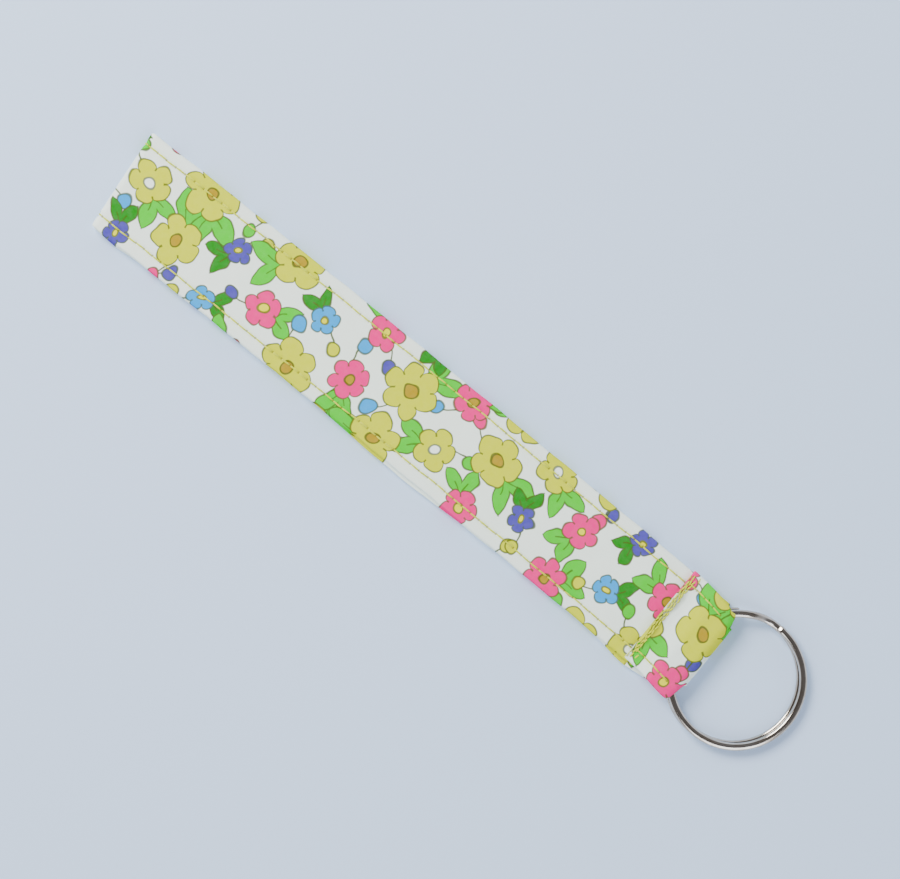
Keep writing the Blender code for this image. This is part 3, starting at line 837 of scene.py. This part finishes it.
def build_ring():
    """Two turns of flattened wire; one end sits at the top, and the wire steps down to pass under it."""
    low_start = WIRE_END - 2 * math.pi
    top_end = low_start + CROSSING
    low_end = top_end - 2 * math.pi + math.radians(2)
    top_turn = np.linspace(WIRE_END, top_end, 260)
    crossing = np.linspace(top_end, low_start, 40)[1:]
    low_turn = np.linspace(low_start, low_end, 260)[1:]
    angle = np.concatenate([top_turn, crossing, low_turn])
    sunk = smooth(-angle, -top_end + 0.02, -low_start - 0.03)
    outline = wire_outline()
    to_end = np.minimum(WIRE_END - angle, angle - low_end) * RING_RADIUS
    taper = 0.82 + 0.18 * np.sqrt(np.clip(1 - (1 - np.clip(to_end / 0.3, 0, 1)) ** 2, 0, 1))
    facet = np.where(angle > WIRE_END - 0.1, 0.35 + 0.65 * np.clip(to_end / 0.7, 0, 1), 1.0)
    out = RING_RADIUS - WIRE_WIDTH / 2 + outline[None, :, 0] * taper[:, None]
    crown = np.where(outline[None, :, 1] > 0, facet[:, None], 1.0)
    up = TURN_PITCH * (0.5 - sunk[:, None]) + outline[None, :, 1] * crown * taper[:, None]
    across = out * np.cos(angle)[:, None] - TURN_SHIFT * sunk[:, None]
    points = np.stack([across, out * np.sin(angle)[:, None], up], -1) * MM
    faces, caps = swept_faces(len(angle), len(outline))
    ring = new_piece("split_ring_wire", points, faces, nickel_look(), caps)
    joint = [j for j in frame["record"]["behaviour"]["joints"] if j["name"] == "ring_spin"][0]
    tilt = math.atan2(joint["axis"][0], joint["axis"][2])
    ring.data.transform(Matrix.Translation(joint["pos_m"]) @ Matrix.Rotation(tilt, 4, "Y"))
    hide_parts("split_ring")
    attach(ring, "split_ring")


# ---------------------------------------------------------------- camera, light and table


def build_camera():
    lens = bpy.data.cameras.new("camera")
    lens.lens = 88.7
    lens.clip_start = 0.01
    camera = bpy.data.objects.new("camera", lens)
    camera.location = (-0.00289, 0.00119, 0.503)
    camera.rotation_euler = (0, 0, math.radians(39.2))
    bpy.context.scene.collection.objects.link(camera)
    bpy.context.scene.camera = camera


def new_light(name, place_m, size, power, colour):
    lamp = bpy.data.lights.new(name, "AREA")
    lamp.size = size
    lamp.energy = power
    lamp.color = colour
    obj = bpy.data.objects.new(name, lamp)
    obj.location = place_m
    obj.rotation_euler = (-Vector(place_m)).to_track_quat("-Z", "Y").to_euler()
    bpy.context.scene.collection.objects.link(obj)


def build_lights():
    """Soft daylight from the far end's side, with a pale fill."""
    new_light("window", (-0.55, 0.12, 0.62), 0.4, 11.0, (1.0, 0.985, 0.96))
    new_light("fill", (0.5, -0.35, 0.7), 0.5, 3.4, (0.86, 0.92, 1.0))
    world = bpy.data.worlds.new("studio")
    world.use_nodes = True
    bpy.context.scene.world = world
    build = Tree(world.node_tree)
    direction = build.node("TexCoord").outputs["Generated"]
    up = build.node("SeparateXYZ", {0: direction}).outputs[2]
    patch = build.ramp(build.noise(direction, 1.8, 1.0), 0.4, 0.6, 0.86, 1.0)
    dark = build.math("MULTIPLY", build.ramp(up, 0.6, 0.74), patch)
    sky = build.mix(dark, (0.88, 0.95, 1.08, 1.0), (0.045, 0.032, 0.022, 1.0))
    back = world.node_tree.nodes["Background"]
    build.feed(back.inputs["Color"], sky)
    back.inputs["Strength"].default_value = 1.28


def build_table():
    mesh = bpy.data.meshes.new("table")
    half = 2.0
    corners = [(-half, -half, 0), (half, -half, 0), (half, half, 0), (-half, half, 0)]
    mesh.from_pydata(corners, [], [(0, 1, 2, 3)])
    material, _, shader = new_material("table_cloth")
    shader.inputs["Base Color"].default_value = tone(206, 222, 244, 1.3)
    shader.inputs["Roughness"].default_value = 0.9
    mesh.materials.append(material)
    table = bpy.data.objects.new("table", mesh)
    table.location = (0, 0, -0.00012)
    bpy.context.scene.collection.objects.link(table)


build_camera()
build_lights()
build_table()
THREAD = thread_look()
fold_cut = build_legs()
build_far_fold(fold_cut)
build_tunnel()
build_tack()
build_ring()
